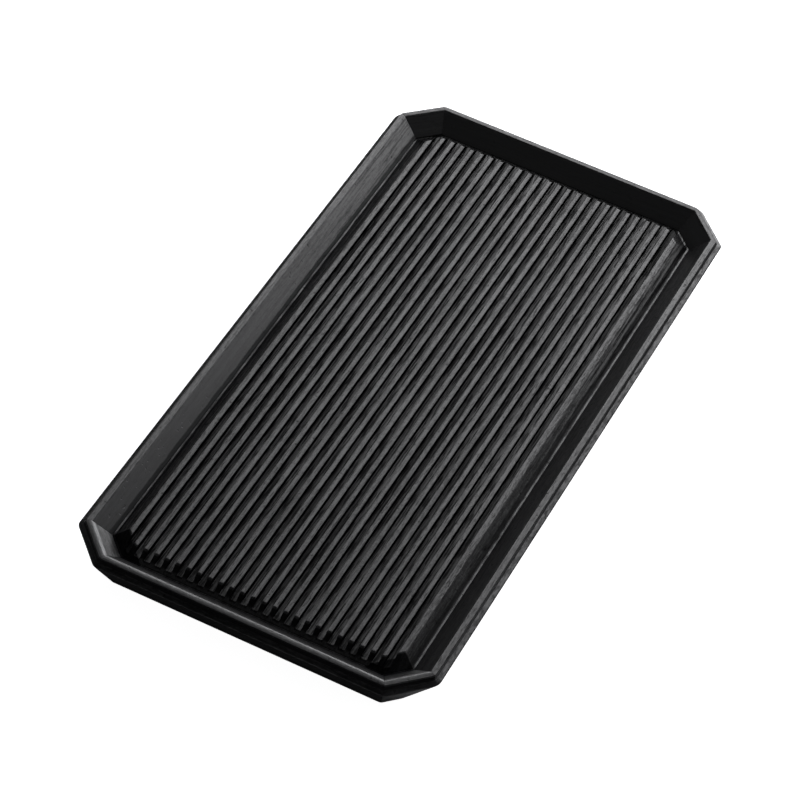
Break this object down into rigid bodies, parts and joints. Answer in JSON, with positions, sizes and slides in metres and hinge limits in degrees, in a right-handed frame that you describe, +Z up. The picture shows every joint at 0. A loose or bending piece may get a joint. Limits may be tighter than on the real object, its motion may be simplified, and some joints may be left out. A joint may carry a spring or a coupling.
{
  "type": "gongfu tea tray",
  "caption": "Long octagonal dry-pour tea tray: a mitred wooden frame with sloping sides and a stepped ledge holds a floating board with lengthwise drain ribs inside a moat; rubber foot pads.",
  "frame": {"origin": "middle of the footprint, on the surface that the foot pads stand on", "axes": "+Y along the long sides towards the far end, +X across to the right, +Z up"},
  "size_m": [0.2, 0.4, 0.025],
  "materials": {
    "frame_wood": "black stain under a thin satin lacquer",
    "board_wood": "black stain under a thin satin lacquer",
    "joinery_wood": "bare hardwood, glued in",
    "batten_wood": "black stain, unlacquered",
    "pad_rubber": "matte moulded rubber"
  },
  "bodies": {
    "root": {"left_rail": "frame_wood", "right_rail": "frame_wood", "near_rail": "frame_wood", "far_rail": "frame_wood", "near_left_corner_rail": "frame_wood", "near_right_corner_rail": "frame_wood", "far_left_corner_rail": "frame_wood", "far_right_corner_rail": "frame_wood", "ribbed_board": "board_wood", "left_near_mitre_spline": "joinery_wood", "near_left_mitre_spline": "joinery_wood", "near_right_mitre_spline": "joinery_wood", "right_near_mitre_spline": "joinery_wood", "right_far_mitre_spline": "joinery_wood", "far_right_mitre_spline": "joinery_wood", "far_left_mitre_spline": "joinery_wood", "left_far_mitre_spline": "joinery_wood", "near_batten": "batten_wood", "far_batten": "batten_wood", "near_left_foot_pad": "pad_rubber", "near_right_foot_pad": "pad_rubber", "far_left_foot_pad": "pad_rubber", "far_right_foot_pad": "pad_rubber"}
  },
  "joints": []
}
